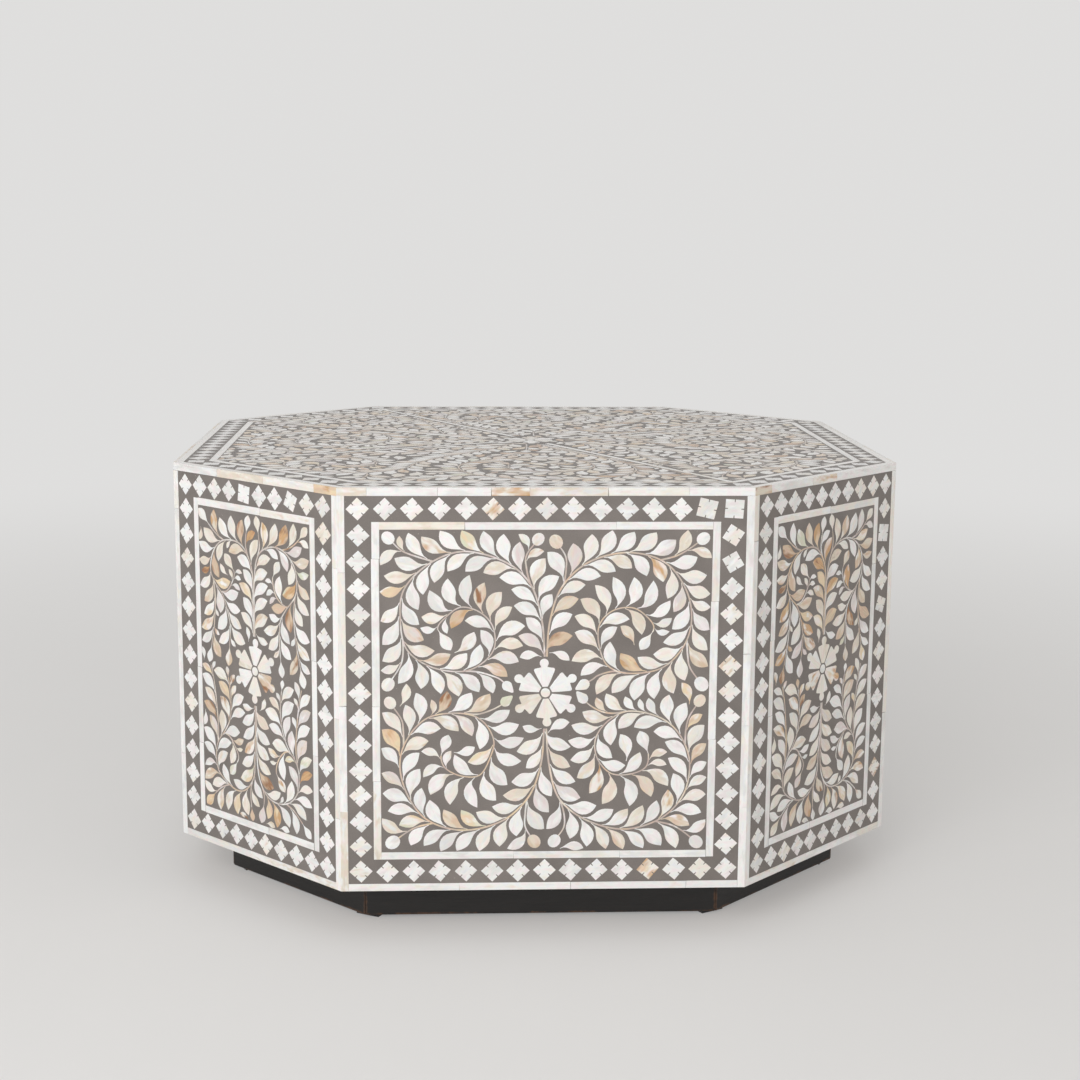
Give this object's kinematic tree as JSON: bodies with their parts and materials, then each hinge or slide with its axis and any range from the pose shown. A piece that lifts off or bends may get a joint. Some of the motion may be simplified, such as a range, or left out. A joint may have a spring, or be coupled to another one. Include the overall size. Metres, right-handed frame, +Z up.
{
  "type": "coffee table",
  "caption": "Low octagonal coffee table: a closed box on a set-back black plinth, faced all over with mother-of-pearl frames, diamonds, rosettes and leaf scrolls flush in grey resin.",
  "frame": {"origin": "on the floor under the middle of the table", "axes": "+Z up; -Y towards the front long face, +X to the right of a person who faces the front"},
  "size_m": [0.76, 0.76, 0.45],
  "materials": {
    "carcass_board": "raw fibreboard",
    "block_wood": "planed softwood",
    "plinth_wood": "black stain, satin",
    "grey_resin": "warm grey poured resin, polished",
    "shell": "mother-of-pearl, polished",
    "felt": "pressed felt"
  },
  "bodies": {
    "root": {"front_panel": "carcass_board", "front_resin": "grey_resin", "front_strips": "shell", "front_diamonds": "shell", "front_rosette": "shell", "front_plinth": "plinth_wood", "front_right_panel": "carcass_board", "front_right_resin": "grey_resin", "front_right_strips": "shell", "front_right_diamonds": "shell", "front_right_rosette": "shell", "front_right_plinth": "plinth_wood", "right_panel": "carcass_board", "right_resin": "grey_resin", "right_strips": "shell", "right_diamonds": "shell", "right_rosette": "shell", "right_plinth": "plinth_wood", "back_right_panel": "carcass_board", "back_right_resin": "grey_resin", "back_right_strips": "shell", "back_right_diamonds": "shell", "back_right_rosette": "shell", "back_right_plinth": "plinth_wood", "back_panel": "carcass_board", "back_resin": "grey_resin", "back_strips": "shell", "back_diamonds": "shell", "back_rosette": "shell", "back_plinth": "plinth_wood", "back_left_panel": "carcass_board", "back_left_resin": "grey_resin", "back_left_strips": "shell", "back_left_diamonds": "shell", "back_left_rosette": "shell", "back_left_plinth": "plinth_wood", "left_panel": "carcass_board", "left_resin": "grey_resin", "left_strips": "shell", "left_diamonds": "shell", "left_rosette": "shell", "left_plinth": "plinth_wood", "front_left_panel": "carcass_board", "front_left_resin": "grey_resin", "front_left_strips": "shell", "front_left_diamonds": "shell", "front_left_rosette": "shell", "front_left_plinth": "plinth_wood", "top_board": "carcass_board", "top_resin": "grey_resin", "top_strips": "shell", "base_board": "carcass_board", "corner_blocks": "block_wood", "top_cleats": "block_wood", "plinth_blocks": "block_wood", "felt_pads": "felt"}
  },
  "joints": []
}
